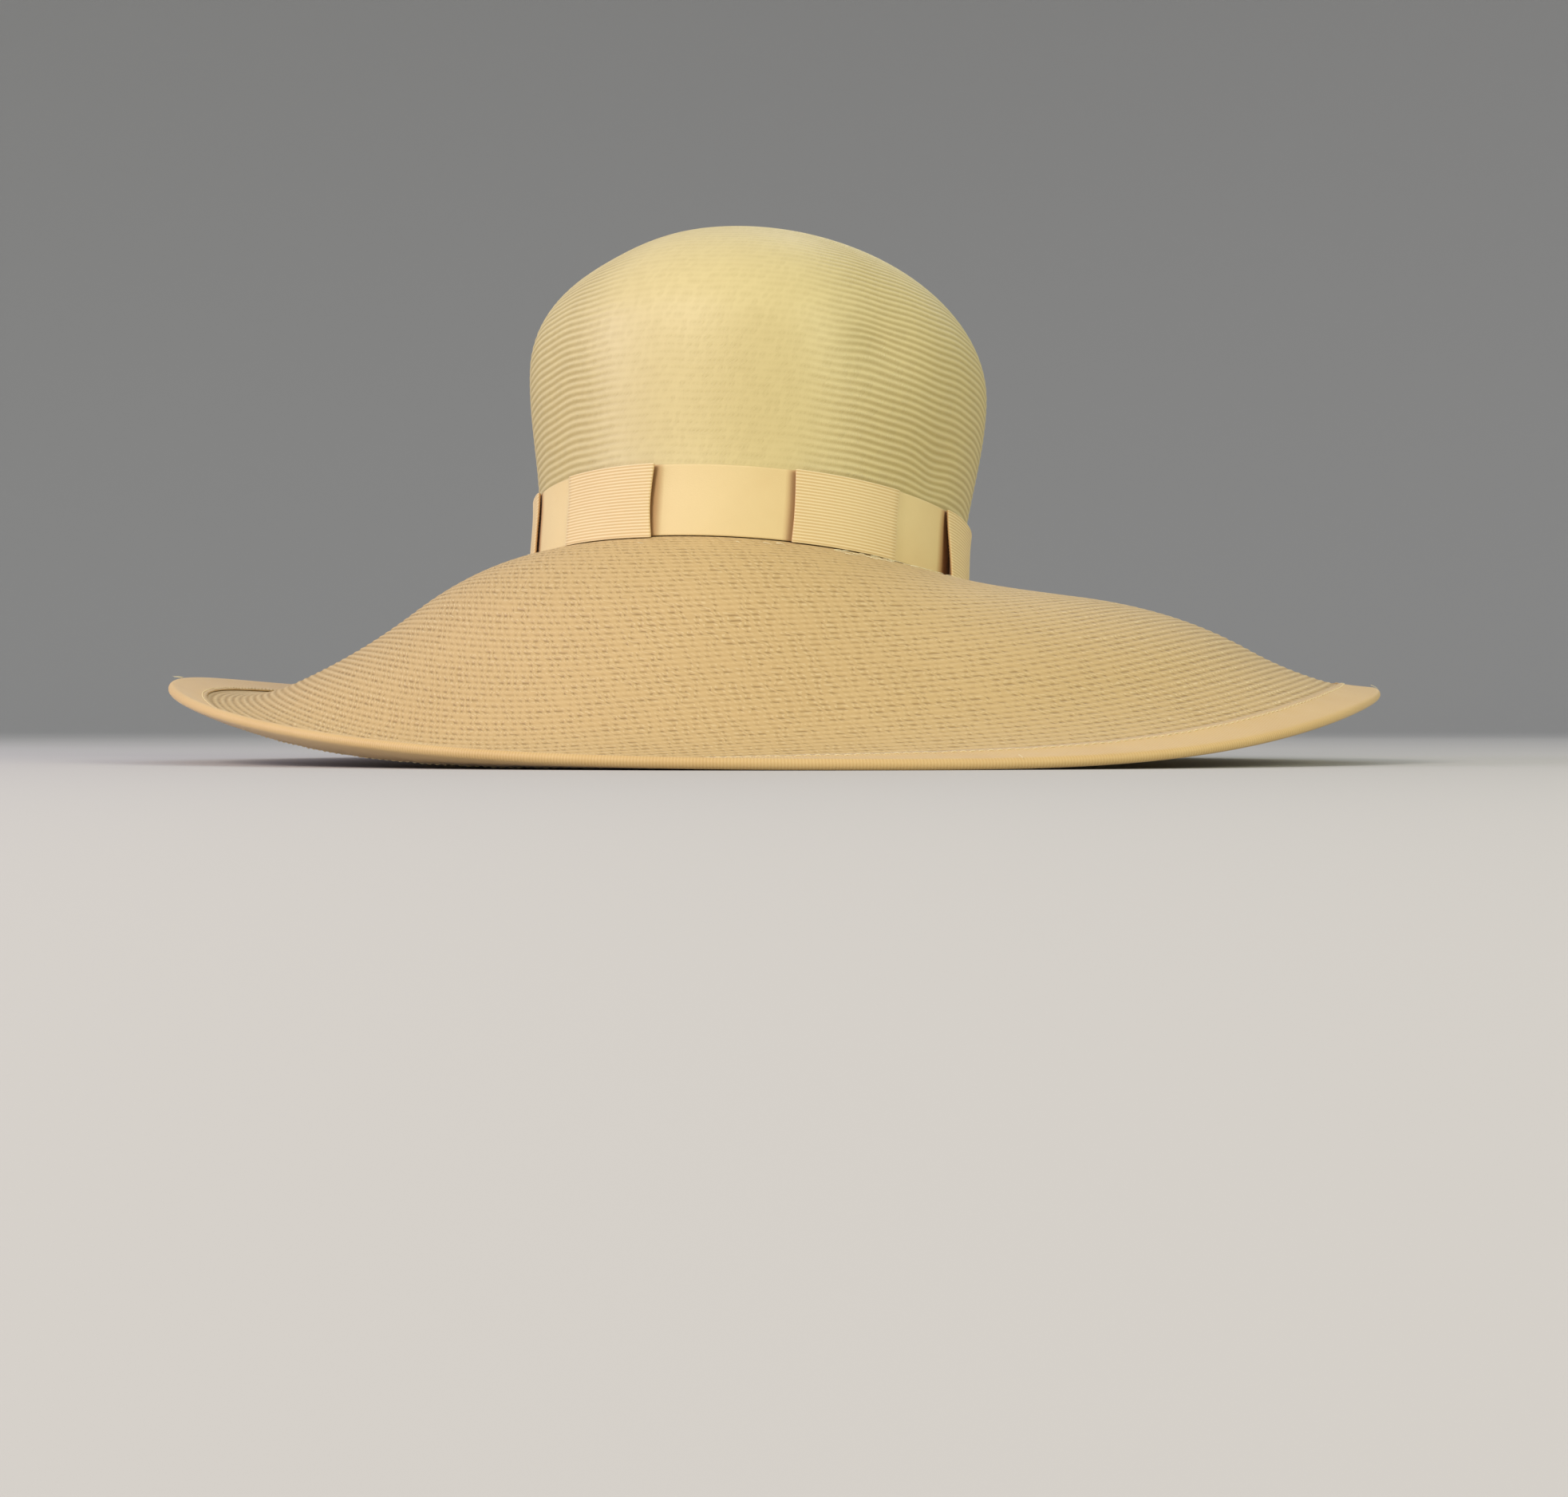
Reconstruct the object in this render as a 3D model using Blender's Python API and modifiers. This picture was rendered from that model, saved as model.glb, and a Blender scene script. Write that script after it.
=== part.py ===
# Straw hat with a domed crown, a wide shaped brim, a pleated ribbon band and a ribbon-bound edge.
# Metres, +Z up. The hat faces -Y, and azimuths are degrees from its front towards +X.
# Its brim lies on the floor at z = 0 as it comes to rest, which leans the crown back.
from collections import namedtuple
from math import cos, radians, sin

import bpy
import numpy as np
from mathutils import Vector

# Head opening and crown
HEAD_WIDTH = 0.160
HEAD_LENGTH = 0.190
STRAW_WALL = 0.0012
CROWN_HEIGHT = 0.135
CROWN_WIDEST_AT = 0.078
CROWN_FOOT_HEIGHT = 0.015
CROWN_SWELL = 0.007
TIP_LEAN = 0.004

# Brim, measured along the straw from the head opening to the edge
BRIM_WIDTH = 0.150

# Ribbon
RIBBON_WALL = 0.0010
BAND_HEIGHT = 0.0245
BAND_CLEAR_OF_BRIM = 0.0006
FIRST_PLEAT_AZIMUTH = 17.5
PLEAT_SPACING = 48.5
PLEAT_LIFT = 0.0020
PLEAT_FACE_DEGREES = 0.4
BINDING_WIDTH = 0.013

# Clearance between pieces that touch
FIT_GAP = 0.0004

# Facets
FACETS_AROUND = 72
CROWN_SIDE_ROWS = 6
CROWN_DOME_ROWS = 8
BRIM_ROWS = 10
BAND_ROWS = 2
BINDING_FLAP_ROWS = 2
BINDING_EDGE_ROWS = 4
SLOPE_STEPS = 60
CLEAR_OF_FOLD_DEGREES = 1.0

# Brim sections, one for each 30 degrees from the front towards +X. The four slopes are degrees
# below level, at the shares of the brim's width in SLOPE_SHARES, and width is a share of BRIM_WIDTH.
SLOPE_SHARES = (0.0, 0.35, 0.70, 1.0)
BrimSection = namedtuple("BrimSection", "neck inner outer edge width")
BRIM_SECTIONS = (
    BrimSection(neck=21, inner=57, outer=51, edge=1, width=1.01),
    BrimSection(neck=15, inner=42, outer=47, edge=16, width=1.02),
    BrimSection(neck=14, inner=12, outer=41, edge=19, width=1.06),
    BrimSection(neck=7, inner=1, outer=24, edge=5, width=1.07),
    BrimSection(neck=10, inner=2, outer=11, edge=-9, width=1.03),
    BrimSection(neck=14, inner=7, outer=5, edge=-16, width=1.00),
    BrimSection(neck=22, inner=19, outer=9, edge=-16, width=0.98),
    BrimSection(neck=23, inner=19, outer=7, edge=-18, width=0.96),
    BrimSection(neck=20, inner=23, outer=13, edge=-20, width=0.95),
    BrimSection(neck=17, inner=32, outer=24, edge=-22, width=0.98),
    BrimSection(neck=10, inner=50, outer=42, edge=-24, width=1.00),
    BrimSection(neck=18, inner=62, outer=52, edge=-22, width=1.02),
)

# Shallow dents in the crown. Height, reach and depth are shares of CROWN_HEIGHT.
Dent = namedtuple("Dent", "azimuth height reach depth")
CROWN_DENTS = (
    Dent(azimuth=38, height=0.62, reach=0.16, depth=0.022),
    Dent(azimuth=-52, height=0.86, reach=0.20, depth=0.018),
    Dent(azimuth=150, height=0.55, reach=0.22, depth=0.014),
)

# Soft creases that run outwards across the brim. Middle and reach are shares of its width, rise is a
# share of BRIM_WIDTH, and spread is degrees round the hat.
Crease = namedtuple("Crease", "azimuth spread middle reach rise")
BRIM_CREASES = (
    Crease(azimuth=112, spread=9, middle=0.78, reach=0.16, rise=0.011),
    Crease(azimuth=64, spread=14, middle=0.30, reach=0.16, rise=0.008),
)

# Places on the brim's underside that meet the floor, as a share of its width
Contact = namedtuple("Contact", "azimuth share")
FLOOR_CONTACTS = (
    Contact(azimuth=-19, share=0.91),
    Contact(azimuth=18, share=0.99),
    Contact(azimuth=179, share=0.90),
)


def oval(azimuth, inwards):
    """Head oval moved inwards by a distance: points (x, y) and outward directions."""
    angle = np.radians(azimuth)
    half_width = HEAD_WIDTH / 2 + STRAW_WALL
    half_length = HEAD_LENGTH / 2 + STRAW_WALL
    normal = np.stack([np.sin(angle) / half_width, -np.cos(angle) / half_length], -1)
    normal /= np.linalg.norm(normal, axis=-1, keepdims=True)
    point = np.stack([half_width * np.sin(angle), -half_length * np.cos(angle)], -1)
    return point - normal * inwards, normal


def around(values, azimuth):
    """Smooth closed curve through values set evenly round the hat, as a Fourier series."""
    harmonics = np.fft.rfft(values) / len(values)
    order = np.arange(len(harmonics))
    weight = np.where((order == 0) | (2 * order == len(values)), 1, 2)
    waves = np.exp(1j * np.radians(azimuth)[:, None] * order)
    return (weight * harmonics * waves).real.sum(-1)


def degrees_apart(azimuth, other):
    """Signed difference of two azimuths, within half a turn."""
    return (azimuth - other + 180) % 360 - 180


def crown_rows(azimuth, heights):
    """Rows of points on the crown's outer face, one for each height, up to the tip."""
    rows = []
    for height in heights:
        climb = np.clip((height - CROWN_FOOT_HEIGHT) / (CROWN_WIDEST_AT - CROWN_FOOT_HEIGHT), 0, 1)
        swell = CROWN_SWELL * climb * climb * (3 - 2 * climb)
        dome = np.clip((height - CROWN_WIDEST_AT) / (CROWN_HEIGHT - CROWN_WIDEST_AT), 0, 1)
        shrink = np.sqrt(1 - dome * dome)
        point, normal = oval(azimuth, -swell)
        row = np.column_stack([point * shrink, np.full(len(azimuth), height)])
        inward = np.column_stack([-normal * shrink, np.full(len(azimuth), -dome)])
        for dent in CROWN_DENTS:
            arc = np.radians(degrees_apart(azimuth, dent.azimuth)) * HEAD_WIDTH / 2
            rise = height - dent.height * CROWN_HEIGHT
            distance = (arc * arc + rise * rise) / (dent.reach * CROWN_HEIGHT) ** 2
            row += inward * (dent.depth * CROWN_HEIGHT * np.exp(-distance) * shrink)[:, None]
        row[:, 0] -= TIP_LEAN * (height / CROWN_HEIGHT) ** 2
        rows.append(row)
    return rows


def brim_top(azimuth, share):
    """Points on the brim's top face: the slopes of each section, summed from the neck outwards."""
    columns = [around([row[k] for row in BRIM_SECTIONS], azimuth) for k in range(5)]
    width = columns[4] * BRIM_WIDTH
    outwards = np.zeros(len(azimuth))
    drop = np.zeros(len(azimuth))
    for step in range(SLOPE_STEPS):
        here = (step + 0.5) / SLOPE_STEPS * share
        between = [np.interp(here, SLOPE_SHARES, np.eye(4)[k]) for k in range(4)]
        slope = np.radians(sum(between[k] * columns[k] for k in range(4)))
        outwards += np.cos(slope) * share / SLOPE_STEPS
        drop += np.sin(slope) * share / SLOPE_STEPS
    for crease in BRIM_CREASES:
        turn = degrees_apart(azimuth, crease.azimuth) / crease.spread
        along = (share - crease.middle) / crease.reach
        drop -= crease.rise * np.exp(-turn * turn - along * along)
    point, normal = oval(azimuth, STRAW_WALL)
    return np.column_stack([point + normal * (outwards * width)[:, None], -drop * width])


def brim_frame(azimuth, share):
    """Points on the brim's top face with the directions outwards along it and up from it."""
    nudge = 0.002
    point = brim_top(azimuth, share)
    outward = brim_top(azimuth, share + nudge) - brim_top(azimuth, share - nudge)
    turn = brim_top(azimuth + nudge, share) - brim_top(azimuth - nudge, share)
    outward /= np.linalg.norm(outward, axis=1, keepdims=True)
    upward = np.cross(outward, turn)
    upward /= np.linalg.norm(upward, axis=1, keepdims=True)
    return point, outward, upward


def binding_shares():
    """Shares of the brim's width from the binding's inner edge to the brim's edge."""
    mean_width = BRIM_WIDTH * np.mean([row.width for row in BRIM_SECTIONS])
    return np.linspace(1 - BINDING_WIDTH / mean_width, 1, BINDING_FLAP_ROWS + 1)


def loft(name, rows, tip=None, closed_section=False):
    """Object whose surface runs through rows of points. Each row is a loop round the hat, and the
    rows follow each other so that the outer side lies to the left of their direction."""
    around_count = len(rows[0])
    points = [tuple(point) for row in rows for point in row]
    faces = []
    row_pairs = [(row, row + 1) for row in range(len(rows) - 1)]
    if closed_section:
        row_pairs.append((len(rows) - 1, 0))
    for first, second in row_pairs:
        for column in range(around_count):
            after = (column + 1) % around_count
            faces.append((
                first * around_count + column,
                second * around_count + column,
                second * around_count + after,
                first * around_count + after,
            ))
    if tip is not None:
        points.append(tuple(tip))
        for column in range(around_count):
            faces.append((len(points) - 1, column, (column + 1) % around_count))
    mesh = bpy.data.meshes.new(name)
    mesh.from_pydata(points, [], faces)
    mesh.shade_smooth()
    return bpy.data.objects.new(name, mesh)


def add_wall(piece, thickness, side):
    """Give an open surface its wall: side -1 lies behind the surface, and +1 in front of it."""
    wall = piece.modifiers.new("Wall", "SOLIDIFY")
    wall.thickness = thickness
    wall.offset = side
    wall.use_even_offset = True


def add_material(piece, name, colour, roughness):
    """Cloth or straw finish: linear colour and roughness, no metal."""
    material = bpy.data.materials.new(name)
    material.use_nodes = True
    shader = material.node_tree.nodes["Principled BSDF"]
    shader.inputs["Base Color"].default_value = (*colour, 1)
    shader.inputs["Roughness"].default_value = roughness
    shader.inputs["Metallic"].default_value = 0
    piece.data.materials.append(material)


def make_crown():
    """Crown: a straight foot, a side that swells to its widest and a dome with a rounded tip."""
    azimuth = np.arange(FACETS_AROUND) * 360 / FACETS_AROUND
    dome_height = CROWN_HEIGHT - CROWN_WIDEST_AT
    dome = [CROWN_WIDEST_AT + dome_height * sin(radians(90 * (1 - row / CROWN_DOME_ROWS)))
            for row in range(1, CROWN_DOME_ROWS + 1)]
    side_height = CROWN_WIDEST_AT - FIT_GAP
    side = [CROWN_WIDEST_AT - side_height * row / CROWN_SIDE_ROWS
            for row in range(1, CROWN_SIDE_ROWS + 1)]
    tip = (-TIP_LEAN, 0, CROWN_HEIGHT)
    crown = loft("crown", crown_rows(azimuth, dome + side), tip=tip)
    add_wall(crown, STRAW_WALL, side=-1)
    add_material(crown, "Pale parasisal straw", (0.56, 0.43, 0.20), 0.55)
    return crown


def make_brim():
    """Brim: one wall of straw from the head opening to the bound edge."""
    azimuth = np.arange(FACETS_AROUND) * 360 / FACETS_AROUND
    under_ribbon = binding_shares()
    open_straw = np.linspace(0, under_ribbon[0], BRIM_ROWS + 1)[:-1]
    shares = np.concatenate([open_straw, under_ribbon])
    brim = loft("brim", [brim_top(azimuth, share) for share in shares])
    add_wall(brim, STRAW_WALL, side=-1)
    add_material(brim, "Tan parasisal straw", (0.42, 0.29, 0.13), 0.60)
    return brim


def make_hat_band():
    """Ribbon round the crown's foot. Each pleat stands proud at the edge that faces the front, and
    thins to a single ribbon where the next pleat covers it. The front panel is a single ribbon."""
    folds = np.arange(FIRST_PLEAT_AZIMUTH, 180, PLEAT_SPACING)
    half_face = PLEAT_FACE_DEGREES / 2
    faces = np.concatenate([folds - half_face, folds + half_face])
    plain = np.arange(FACETS_AROUND) * 360 / FACETS_AROUND
    clear = [np.abs(np.abs(degrees_apart(value, 0)) - folds).min() > CLEAR_OF_FOLD_DEGREES
             for value in plain]
    azimuth = np.sort(np.concatenate([plain[clear], faces, 360 - faces]))
    turn = np.abs(degrees_apart(azimuth, 0))
    pleat = np.floor((turn - FIRST_PLEAT_AZIMUTH) / PLEAT_SPACING)
    along = (turn - FIRST_PLEAT_AZIMUTH) / PLEAT_SPACING - pleat
    lift = np.where(pleat < 0, 0, PLEAT_LIFT * (1 - along))
    lift = np.where(pleat == len(folds) - 1, PLEAT_LIFT, lift)

    heights = BAND_CLEAR_OF_BRIM + BAND_HEIGHT * np.linspace(1, 0, BAND_ROWS + 1)
    rows = []
    for height in heights:
        inner, outwards = crown_face(azimuth, height)
        rows.append(inner + outwards * (FIT_GAP + RIBBON_WALL + lift)[:, None])
    for height in heights[::-1]:
        inner, outwards = crown_face(azimuth, height)
        rows.append(inner + outwards * FIT_GAP)
    band = loft("hat_band", rows, closed_section=True)
    band.data.shade_flat()
    add_material(band, "Peach grosgrain ribbon", (0.70, 0.48, 0.26), 0.65)
    return band


def crown_face(azimuth, height):
    """Points on the crown's outer face at one height, with the level direction outwards."""
    _, normal = oval(azimuth, 0)
    return crown_rows(azimuth, [height])[0], np.column_stack([normal, np.zeros(len(azimuth))])


def make_brim_binding():
    """Ribbon folded over the brim's edge: a flap on top, a round turn and a flap underneath."""
    azimuth = np.arange(FACETS_AROUND) * 360 / FACETS_AROUND
    top_rows = []
    under_rows = []
    for share in binding_shares():
        point, outward, upward = brim_frame(azimuth, share)
        top_rows.append(point + upward * FIT_GAP)
        under_rows.append(point - upward * (STRAW_WALL + FIT_GAP))
    turn_radius = STRAW_WALL / 2 + FIT_GAP
    middle = point - upward * STRAW_WALL / 2
    edge_rows = []
    for step in range(1, BINDING_EDGE_ROWS):
        angle = radians(90 - 180 * step / BINDING_EDGE_ROWS)
        edge_rows.append(middle + (outward * cos(angle) + upward * sin(angle)) * turn_radius)
    binding = loft("brim_binding", top_rows + edge_rows + under_rows[::-1])
    add_wall(binding, RIBBON_WALL, side=1)
    add_material(binding, "Golden tan binding ribbon", (0.56, 0.35, 0.15), 0.60)
    return binding


def lay_on_floor(pieces):
    """Turn the hat so that its three floor contacts are level, and set it on z = 0, centred."""
    contacts = []
    for contact in FLOOR_CONTACTS:
        point, _, upward = brim_frame(np.array([float(contact.azimuth)]), contact.share)
        contacts.append(Vector(point[0] - upward[0] * STRAW_WALL))
    across = contacts[1] - contacts[0]
    back = contacts[2] - contacts[0]
    level = across.cross(back).normalized()
    rest = bpy.data.objects.new("hat_rest", None)
    rest.rotation_mode = "QUATERNION"
    rest.rotation_quaternion = level.rotation_difference(Vector((0, 0, 1)))
    collection.objects.link(rest)
    for piece in pieces:
        piece.parent = rest
    bpy.context.view_layer.update()

    graph = bpy.context.evaluated_depsgraph_get()
    corners = []
    for piece in pieces:
        shaped = piece.evaluated_get(graph)
        corners += [shaped.matrix_world @ vertex.co for vertex in shaped.data.vertices]
    corners = np.array(corners)
    low = corners.min(0)
    high = corners.max(0)
    rest.location = (-(low[0] + high[0]) / 2, -(low[1] + high[1]) / 2, -low[2])
    bpy.context.view_layer.update()


for leftover in list(bpy.data.objects):
    bpy.data.objects.remove(leftover)

collection = bpy.data.collections.new("Straw hat")
bpy.context.scene.collection.children.link(collection)

hat_pieces = [make_crown(), make_brim(), make_hat_band(), make_brim_binding()]
for hat_piece in hat_pieces:
    collection.objects.link(hat_piece)
lay_on_floor(hat_pieces)
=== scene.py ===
import bpy
import numpy as np
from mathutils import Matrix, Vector


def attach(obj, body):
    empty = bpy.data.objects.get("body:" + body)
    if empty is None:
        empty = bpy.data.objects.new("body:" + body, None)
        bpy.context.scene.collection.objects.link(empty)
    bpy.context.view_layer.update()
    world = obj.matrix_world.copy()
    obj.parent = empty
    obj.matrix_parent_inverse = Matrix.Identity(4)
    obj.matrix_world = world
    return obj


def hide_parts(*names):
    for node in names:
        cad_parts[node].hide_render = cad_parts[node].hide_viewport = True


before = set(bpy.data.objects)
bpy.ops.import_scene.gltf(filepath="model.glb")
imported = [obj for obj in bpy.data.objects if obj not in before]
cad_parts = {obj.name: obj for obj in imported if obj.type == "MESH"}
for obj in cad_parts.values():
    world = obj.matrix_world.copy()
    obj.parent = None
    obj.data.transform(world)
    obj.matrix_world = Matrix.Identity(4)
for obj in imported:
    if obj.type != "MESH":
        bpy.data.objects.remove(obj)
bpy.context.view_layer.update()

# Straw hat at rest on its brim: woven straw, a pleated ribbon band and a bound, stitched edge.
# Metres. Azimuths are degrees from the hat's front towards +X, in the hat's own axes.

hatForm = {
    "headWidth": 0.160,
    "headLength": 0.190,
    "strawWall": 0.0012,
    "crownHeight": 0.135,
    "crownWidestAt": 0.078,
    "crownFootHeight": 0.015,
    "crownSwell": 0.007,
    "tipLean": 0.004,
    "brimWidth": 0.150,
    "slopeShares": (0.0, 0.35, 0.70, 1.0),
    "slopeSteps": 60,
    # a row for each 30 degrees: slopes below level at the shares above, then a share of the width
    "brimSections": (
        (21, 57, 51, 1, 1.01),
        (15, 42, 47, 16, 1.02),
        (14, 12, 41, 19, 1.06),
        (7, 1, 24, 5, 1.07),
        (10, 2, 11, -9, 1.03),
        (14, 7, 5, -16, 1.00),
        (22, 19, 9, -16, 0.98),
        (23, 19, 7, -18, 0.96),
        (20, 23, 13, -20, 0.95),
        (17, 32, 24, -22, 0.98),
        (10, 50, 42, -24, 1.00),
        (18, 62, 52, -22, 1.02),
    ),
    # azimuth, then height, reach and depth as shares of the crown's height
    "crownDents": ((38, 0.62, 0.16, 0.022), (-52, 0.86, 0.20, 0.018), (150, 0.55, 0.22, 0.014)),
    # azimuth, spread in degrees, then middle, reach and rise as shares of the width
    "brimCreases": ((112, 9, 0.78, 0.16, 0.011), (64, 14, 0.30, 0.16, 0.008)),
    # azimuth and share of the width where the underside meets the floor
    "floorContacts": ((-19, 0.91), (18, 0.99), (179, 0.90)),
}


def headOval(azimuth, outwards):
    # ellipse of the head opening's straw, moved outwards along its own normal
    angle = np.radians(azimuth)
    halfWidth = hatForm["headWidth"] / 2 + hatForm["strawWall"]
    halfLength = hatForm["headLength"] / 2 + hatForm["strawWall"]
    normal = np.stack([np.sin(angle) / halfWidth, -np.cos(angle) / halfLength], -1)
    normal /= np.linalg.norm(normal, axis=-1, keepdims=True)
    point = np.stack([halfWidth * np.sin(angle), -halfLength * np.cos(angle)], -1)
    return point + normal * np.asarray(outwards)[..., None], normal


def aroundHat(values, azimuth):
    # Fourier series through values set evenly round the hat
    harmonics = np.fft.rfft(values) / len(values)
    order = np.arange(len(harmonics))
    weight = np.where((order == 0) | (2 * order == len(values)), 1, 2)
    waves = np.exp(1j * np.radians(azimuth)[..., None] * order)
    return (weight * harmonics * waves).real.sum(-1)


def apart(azimuth, other):
    # signed difference of two azimuths, within half a turn
    return (azimuth - other + 180) % 360 - 180


def evenAzimuths(count):
    # a row of azimuths set evenly round the hat
    return np.arange(count)[None] * 360 / count


def smoothStep(value, start, end):
    # 3 s^2 - 2 s^3, where s runs 0 to 1 from start to end
    share = np.clip((value - start) / (end - start), 0, 1)
    return share * share * (3 - 2 * share)


def crownSurface(azimuth, height):
    # oval that swells up the side by a smooth step, then shrinks over the dome as a quarter ellipse
    azimuth, height = np.broadcast_arrays(azimuth, height)
    form = hatForm
    swell = form["crownSwell"] * smoothStep(height, form["crownFootHeight"], form["crownWidestAt"])
    dome = (height - form["crownWidestAt"]) / (form["crownHeight"] - form["crownWidestAt"])
    dome = np.clip(dome, 0, 1)
    shrink = np.sqrt(1 - dome * dome)
    point, normal = headOval(azimuth, swell)
    surface = np.concatenate([point * shrink[..., None], height[..., None]], -1)
    inward = np.concatenate([-normal * shrink[..., None], -dome[..., None]], -1)
    for dentAzimuth, dentHeight, reach, depth in form["crownDents"]:
        arc = np.radians(apart(azimuth, dentAzimuth)) * form["headWidth"] / 2
        rise = height - dentHeight * form["crownHeight"]
        distance = (arc * arc + rise * rise) / (reach * form["crownHeight"]) ** 2
        surface += inward * (depth * form["crownHeight"] * np.exp(-distance) * shrink)[..., None]
    surface[..., 0] -= form["tipLean"] * (height / form["crownHeight"]) ** 2
    return surface


def brimSurface(azimuth, share):
    # slopes of each section, summed from the neck outwards at the middle of each small step
    azimuth, share = np.broadcast_arrays(azimuth, share)
    form = hatForm
    columns = [aroundHat([row[k] for row in form["brimSections"]], azimuth) for k in range(5)]
    outwards = np.zeros(share.shape)
    drop = np.zeros(share.shape)
    for step in range(form["slopeSteps"]):
        here = (step + 0.5) / form["slopeSteps"] * share
        weights = [np.interp(here, form["slopeShares"], np.eye(4)[k]) for k in range(4)]
        slope = np.radians(sum(weights[k] * columns[k] for k in range(4)))
        outwards += np.cos(slope) * share / form["slopeSteps"]
        drop += np.sin(slope) * share / form["slopeSteps"]
    for creaseAzimuth, spread, middle, reach, rise in form["brimCreases"]:
        turn = apart(azimuth, creaseAzimuth) / spread
        drop -= rise * np.exp(-turn * turn - ((share - middle) / reach) ** 2)
    width = columns[4] * form["brimWidth"]
    point, normal = headOval(azimuth, -form["strawWall"])
    flat = point + normal * (outwards * width)[..., None]
    return np.concatenate([flat, -(drop * width)[..., None]], -1)


def brimFrame(azimuth, share):
    # point on the brim's top face, with unit directions outwards along it and up from it
    nudge = 0.002
    outward = brimSurface(azimuth, share + nudge) - brimSurface(azimuth, share - nudge)
    around = brimSurface(azimuth + nudge, share) - brimSurface(azimuth - nudge, share)
    outward /= np.linalg.norm(outward, axis=-1, keepdims=True)
    upward = np.cross(outward, around)
    upward /= np.linalg.norm(upward, axis=-1, keepdims=True)
    return brimSurface(azimuth, share), outward, upward


def levelTurn():
    # rotation that makes the plane through the three floor contacts level
    azimuth, share = np.array(hatForm["floorContacts"]).T
    point, _, upward = brimFrame(azimuth, share)
    contact = [Vector(row) for row in point - upward * hatForm["strawWall"]]
    level = (contact[1] - contact[0]).cross(contact[2] - contact[0]).normalized()
    return np.array(level.rotation_difference(Vector((0, 0, 1))).to_matrix())


restTurn = levelTurn()


def gridNormals(grid):
    # cross product of the steps from row to row and round the hat
    across = np.roll(grid, -1, 1) - np.roll(grid, 1, 1)
    normal = np.cross(np.gradient(grid, axis=0), across)
    return normal / np.maximum(np.linalg.norm(normal, axis=-1, keepdims=True), 1e-12)


def addPiece(name, points, faces, uvs, material, marks=None):
    # a mesh object at the origin, riding on the hat's one body. marks are named values at its points
    mesh = bpy.data.meshes.new(name)
    mesh.from_pydata(points.tolist(), [], faces)
    if uvs is not None:
        mesh.uv_layers.new(name="weave").data.foreach_set("uv", uvs.astype(np.float32).ravel())
    for mark, values in (marks or {}).items():
        filled = np.zeros(len(points), np.float32)
        filled[:values.size] = values.ravel()
        mesh.attributes.new(mark, "FLOAT", "POINT").data.foreach_set("value", filled)
    mesh.shade_smooth()
    mesh.materials.append(material)
    piece = bpy.data.objects.new(name, mesh)
    bpy.context.scene.collection.objects.link(piece)
    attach(piece, "root")
    return piece


def ringQuads(rows, columns, closed=False):
    # the faces of each strip between two loops of points
    near = np.arange(rows if closed else rows - 1)[:, None] * columns
    far = (near + columns) % (rows * columns)
    column = np.arange(columns)
    after = (column + 1) % columns
    return np.stack([near + column, far + column, far + after, near + after], -1)


def gridPiece(name, grid, rowUv, material, tips=None, closed=False, marks=None):
    # loops of points joined by quads. rowUv holds, for each strip of faces, turns of u round the
    # hat, where u starts, and v at its two sides. tips close the first and the last loop
    rows, columns = grid.shape[:2]
    quads = ringQuads(rows, columns, closed)
    column = np.arange(columns)
    turns, start, vNear, vFar = [np.broadcast_to(part, len(quads))[:, None] for part in rowUv]
    uLeft = start + turns * column / columns
    uRight = start + turns * (column + 1) / columns
    vNear = np.broadcast_to(vNear, uLeft.shape)
    vFar = np.broadcast_to(vFar, uLeft.shape)
    uvs = np.stack([uLeft, vNear, uLeft, vFar, uRight, vFar, uRight, vNear], -1).reshape(-1, 2)
    faces = quads.reshape(-1, 4).tolist()
    points = grid.reshape(-1, 3)
    if tips is not None:
        points = np.concatenate([points, tips])
        after = (column + 1) % columns
        firstTip = np.full(columns, len(points) - 2)
        last = (rows - 1) * columns
        faces += np.stack([firstTip, column, after], -1).tolist()
        faces += np.stack([last + column, firstTip + 1, last + after], -1).tolist()
        middle = (uLeft + uRight) / 2
        uvs = np.concatenate([
            uvs,
            np.stack([middle[0], vNear[0], uLeft[0], vNear[0], uRight[0], vNear[0]], -1).reshape(-1, 2),
            np.stack([uLeft[-1], vFar[-1], middle[-1], vFar[-1], uRight[-1], vFar[-1]], -1).reshape(-1, 2),
        ])
    return addPiece(name, points, faces, uvs, material, marks)


def strandPiece(name, paths, radii, upwards, sides, material):
    # many small tubes: path + radius (side cos a + lift sin a), with a point at each end
    along = np.gradient(paths, axis=1)
    along /= np.linalg.norm(along, axis=-1, keepdims=True)
    side = np.cross(along, upwards)
    side /= np.linalg.norm(side, axis=-1, keepdims=True)
    lift = np.cross(side, along)
    angle = np.arange(sides) * 2 * np.pi / sides
    spoke = side[:, :, None] * np.cos(angle)[:, None] + lift[:, :, None] * np.sin(angle)[:, None]
    rings = paths[:, :, None] + spoke * radii[..., None, None]
    count, steps = paths.shape[:2]
    ends = np.stack([
        paths[:, 0] - along[:, 0] * radii[:, :1],
        paths[:, -1] + along[:, -1] * radii[:, -1:],
    ], 1)
    points = np.concatenate([rings.reshape(count, -1, 3), ends], 1)
    turn = np.arange(sides)
    after = (turn + 1) % sides
    last = (steps - 1) * sides
    firstEnd = np.full(sides, steps * sides)
    caps = np.concatenate([
        np.stack([firstEnd, turn, after], -1),
        np.stack([firstEnd + 1, last + after, last + turn], -1),
    ])
    offset = np.arange(count)[:, None, None] * points.shape[1]
    faces = (ringQuads(steps, sides).reshape(-1, 4) + offset).reshape(-1, 4).tolist()
    faces += (caps + offset).reshape(-1, 3).tolist()
    addPiece(name, points.reshape(-1, 3), faces, None, material)


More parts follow.
